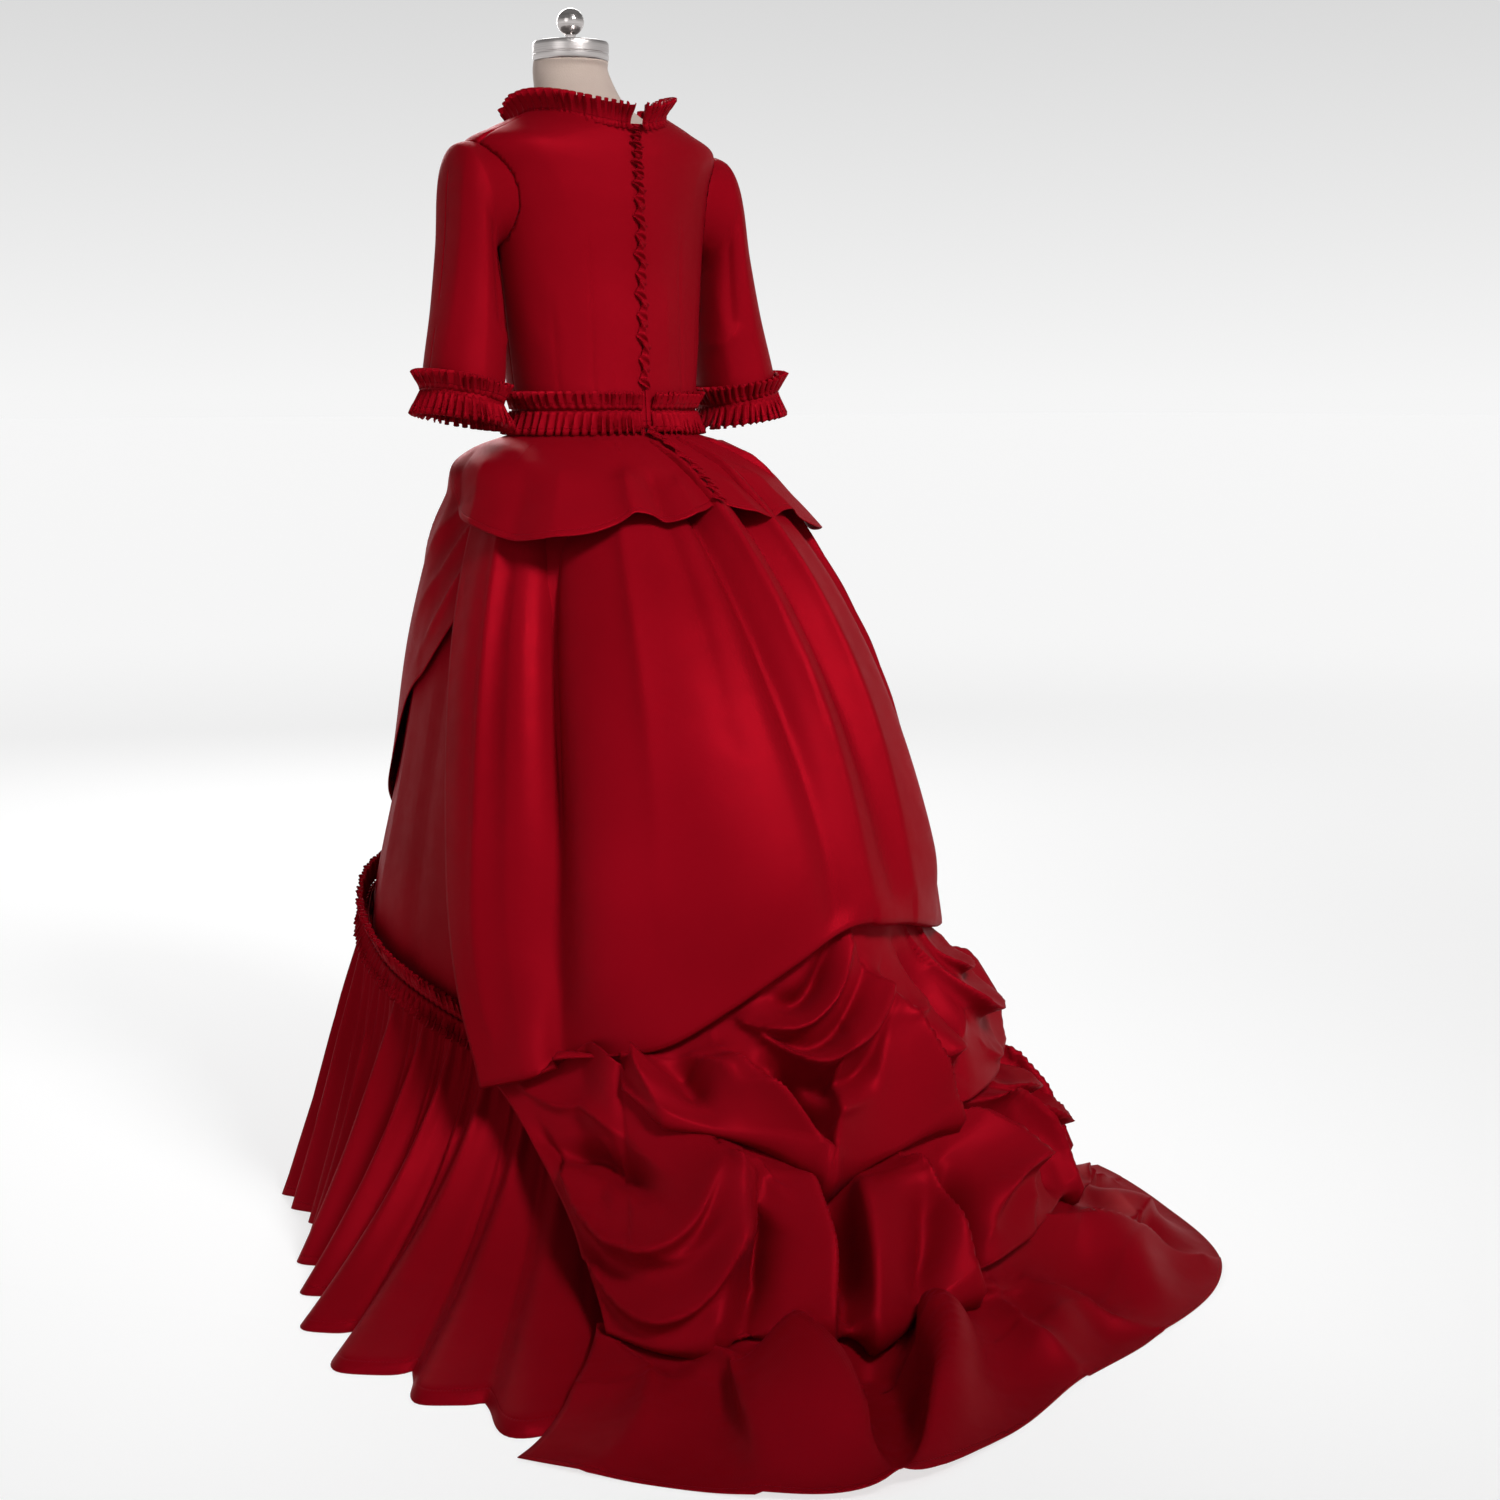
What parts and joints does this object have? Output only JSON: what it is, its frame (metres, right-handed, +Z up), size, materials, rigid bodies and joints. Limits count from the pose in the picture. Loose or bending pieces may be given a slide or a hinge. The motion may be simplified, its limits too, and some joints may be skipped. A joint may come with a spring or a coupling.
{
  "type": "trained bustle dress on a limbless dress form",
  "caption": "Deep red costume bustle dress with elbow sleeves, ruffled edges, peplum, tied-up back drape, deep flounce and floor train, on a limbless dress form with a pole and round base.",
  "frame": {"origin": "centre of the underside of the round base, on the pole's axis, at floor level", "axes": "+Z up along the pole; +Y out of the back of the dress, towards the train; +X towards the wearer's left"},
  "size_m": [1.247, 1.507, 1.6165],
  "materials": {
    "red_satin": "dull satin, piece dyed deep red",
    "form_cover": "matt beige jersey cover",
    "form_metal": "brushed, knob polished"
  },
  "bodies": {
    "root": {"form_torso": "form_cover", "form_neck_cap": "form_metal", "form_knob": "form_metal", "form_pole": "form_metal", "form_base": "form_metal", "bodice_front": "red_satin", "bodice_back_left": "red_satin", "bodice_back_right": "red_satin", "sleeve_left": "red_satin", "cuff_frill_upper_left": "red_satin", "cuff_frill_lower_left": "red_satin", "peplum_left": "red_satin", "sleeve_right": "red_satin", "cuff_frill_upper_right": "red_satin", "cuff_frill_lower_right": "red_satin", "peplum_right": "red_satin", "neck_frill": "red_satin", "waist_frill_upper": "red_satin", "waist_frill_lower": "red_satin", "closure_strip": "red_satin", "closure_strip_peplum": "red_satin", "underskirt": "red_satin", "flounce": "red_satin", "heading_frill_upper": "red_satin", "heading_frill_lower": "red_satin", "front_apron": "red_satin", "back_drape": "red_satin", "upper_swag": "red_satin", "lower_swag": "red_satin", "train": "red_satin"}
  },
  "joints": []
}
